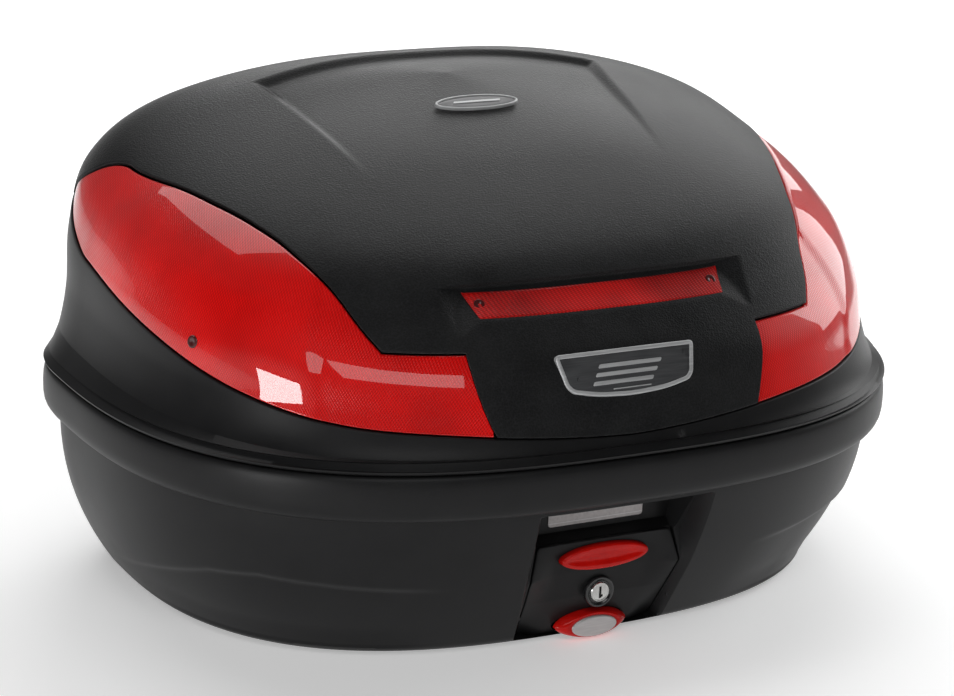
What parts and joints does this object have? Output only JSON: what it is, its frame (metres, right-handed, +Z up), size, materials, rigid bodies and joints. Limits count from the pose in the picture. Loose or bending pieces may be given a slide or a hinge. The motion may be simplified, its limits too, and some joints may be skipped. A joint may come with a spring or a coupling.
{
  "type": "motorcycle top case",
  "caption": "Hard-shell motorcycle top case with a hinged domed lid, red side and strip reflectors, push-button latch, key lock and a quick-release base.",
  "frame": {"origin": "bottom centre of the whole case, on the surface it stands on", "axes": "+X to the right of the lock along the width, -Y the lock side, +Y the hinge side, +Z up"},
  "size_m": [0.59, 0.44, 0.3446],
  "materials": {
    "shell_black": "fine-grain black moulded plastic with a satin sheen",
    "lid_black": "smooth satin black moulded plastic",
    "cover_grain": "coarse pebble-grain charcoal moulded plastic",
    "panel_black": "smooth satin black plastic",
    "inner_black": "plain black moulded plastic",
    "hinge_black": "black powder-coated steel",
    "screw_black": "blackened screws",
    "barrel_black": "gloss black",
    "rubber": "soft black rubber",
    "label": "grey printed card under clear film",
    "red_lens": "clear red acrylic, polished",
    "strip_lens": "clear dark red acrylic over small prisms",
    "red_prism": "red prismatic reflector",
    "peg_dark": "dark red-brown plastic",
    "red_gloss": "gloss red moulded plastic",
    "silver_satin": "satin silver plating",
    "badge_silver": "brushed silver",
    "badge_grey": "dark grey satin",
    "badge_dark": "dark grey gloss",
    "plug_chrome": "polished nickel",
    "zinc": "zinc-plated steel",
    "steel": "bright steel"
  },
  "bodies": {
    "case": {"bottom_shell": "shell_black", "rim_seal": "rubber", "lock_panel": "panel_black", "name_label": "label", "lock_housing": "inner_black", "lock_barrel": "barrel_black", "mechanism_cover": "inner_black", "latch_guard": "inner_black", "hinge_base_left": "hinge_black", "hinge_base_right": "hinge_black", "hinge_pins": "steel", "base_screws": "screw_black", "cover_screws": "screw_black", "lid_latch_pin": "steel", "plate_latch_pin": "steel", "button_springs": "steel", "release_springs": "steel"},
    "lid": {"lid_shell": "lid_black", "lid_cover": "cover_grain", "reflector_left": "red_lens", "reflector_right": "red_lens", "reflector_backing_left": "red_prism", "reflector_backing_right": "red_prism", "reflector_pegs": "peg_dark", "strip_reflector": "strip_lens", "strip_backing": "red_prism", "strip_screws": "peg_dark", "badge_frame": "badge_silver", "badge_inset": "badge_grey", "oval_badge_rim": "badge_silver", "oval_badge_inset": "badge_dark", "hinge_leaf_left": "hinge_black", "hinge_leaf_right": "hinge_black", "leaf_screws": "screw_black", "striker": "zinc", "striker_screws": "screw_black"},
    "button": {"lid_button": "red_gloss", "button_plunger": "inner_black"},
    "lid_catch": {"lid_latch": "zinc"},
    "plug": {"lock_plug": "plug_chrome", "lock_cam": "zinc"},
    "release": {"release_lever": "red_gloss", "release_badge": "silver_satin", "release_yoke": "inner_black"},
    "plate_catch": {"plate_latch": "zinc"}
  },
  "joints": [
    {"name": "lid_hinge", "type": "hinge", "parent": "case", "child": "lid", "pos_m": [0, 0.2145, 0.146], "axis": [-1, 0, 0], "range_deg": [0, 80]},
    {"name": "lid_button_press", "type": "slide", "parent": "case", "child": "button", "axis": [0, 1, 0], "range_m": [0, 0.004], "stiffness_N_per_m": 900, "deforming": ["button_springs"]},
    {"name": "lid_latch_turn", "type": "hinge", "parent": "case", "child": "lid_catch", "pos_m": [0, -0.156, 0.084], "axis": [1, 0, 0], "range_deg": [0, 11.46]},
    {"name": "key_turn", "type": "hinge", "parent": "case", "child": "plug", "pos_m": [0, -0.17, 0.0365], "axis": [0, -1, 0], "range_deg": [0, 90]},
    {"name": "release_press", "type": "slide", "parent": "case", "child": "release", "axis": [0, 1, 0], "range_m": [0, 0.005], "stiffness_N_per_m": 900, "deforming": ["release_springs"]},
    {"name": "plate_latch_turn", "type": "hinge", "parent": "case", "child": "plate_catch", "pos_m": [0, -0.126, 0.026], "axis": [-1, 0, 0], "range_deg": [0, 14.33]}
  ],
  "couplings": [
    {"joint": "lid_latch_turn", "follows": "lid_button_press", "rad_per_m": 50},
    {"joint": "plate_latch_turn", "follows": "release_press", "rad_per_m": 50}
  ]
}
